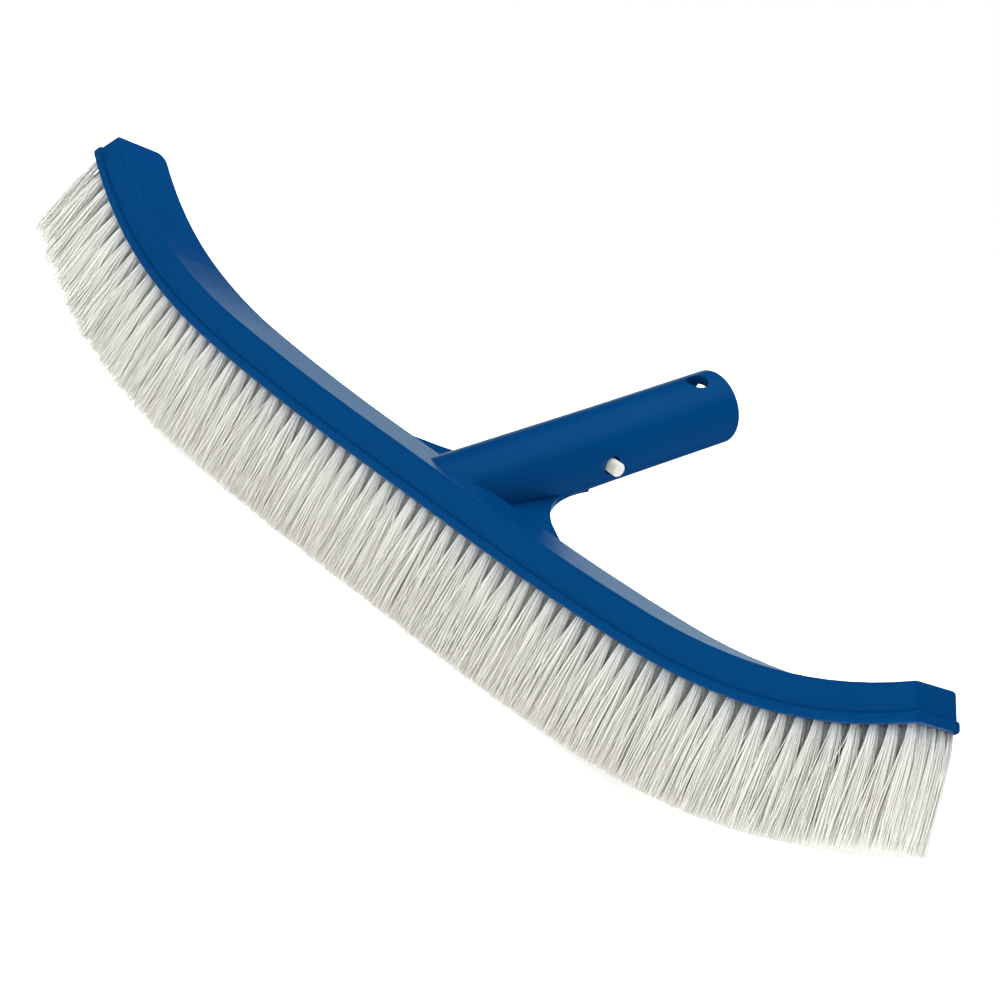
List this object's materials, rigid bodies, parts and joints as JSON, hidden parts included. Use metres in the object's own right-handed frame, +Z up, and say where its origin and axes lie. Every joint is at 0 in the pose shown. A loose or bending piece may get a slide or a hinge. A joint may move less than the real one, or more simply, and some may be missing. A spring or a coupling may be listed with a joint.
{
  "type": "pool wall brush",
  "caption": "Curved pool wall brush with upswept ends, rows of bristle tufts under a moulded back, and a tilted socket handle with two snap buttons for a telescopic pole.",
  "frame": {"origin": "on the handle's axis, in the middle of its plain round stretch", "axes": "+X along the brush, +Y across it towards the handle's mouth, +Z up from the bristle tips to the back"},
  "size_m": [0.466, 0.1413, 0.1184],
  "materials": {
    "blue_moulding": "glossy injection-moulded blue polypropylene",
    "white_clip": "white acetal, slightly glossy",
    "bristles": "off-white translucent nylon filaments",
    "staple_wire": "flat drawn wire"
  },
  "bodies": {
    "brush": {"brush_back": "blue_moulding", "handle_tube": "blue_moulding", "web_left": "blue_moulding", "web_right": "blue_moulding", "clip_bend": "white_clip", "bristles_row1_left": "bristles", "bristles_row1_centre": "bristles", "bristles_row1_right": "bristles", "bristles_row2_left": "bristles", "bristles_row2_centre": "bristles", "bristles_row2_right": "bristles", "bristles_row3_left": "bristles", "bristles_row3_centre": "bristles", "bristles_row3_right": "bristles", "bristles_row4_left": "bristles", "bristles_row4_centre": "bristles", "bristles_row4_right": "bristles", "bristles_row5_left": "bristles", "bristles_row5_centre": "bristles", "bristles_row5_right": "bristles", "staples_row1": "staple_wire", "staples_row2": "staple_wire", "staples_row3": "staple_wire", "staples_row4": "staple_wire", "staples_row5": "staple_wire"},
    "left_arm": {"clip_arm_left": "white_clip"},
    "right_arm": {"clip_arm_right": "white_clip"}
  },
  "joints": [
    {"name": "left_button_press", "type": "hinge", "parent": "brush", "child": "left_arm", "pos_m": [-0.00841, -0.05785, -0.033], "axis": [0, 0.4955, -0.8686], "range_deg": [0, 8], "stiffness_Nm_per_rad": 2.8, "springref_deg": -3.44},
    {"name": "right_button_press", "type": "hinge", "parent": "brush", "child": "right_arm", "pos_m": [0.00841, -0.05785, -0.033], "axis": [0, -0.4955, 0.8686], "range_deg": [0, 8], "stiffness_Nm_per_rad": 2.8, "springref_deg": -3.44}
  ]
}
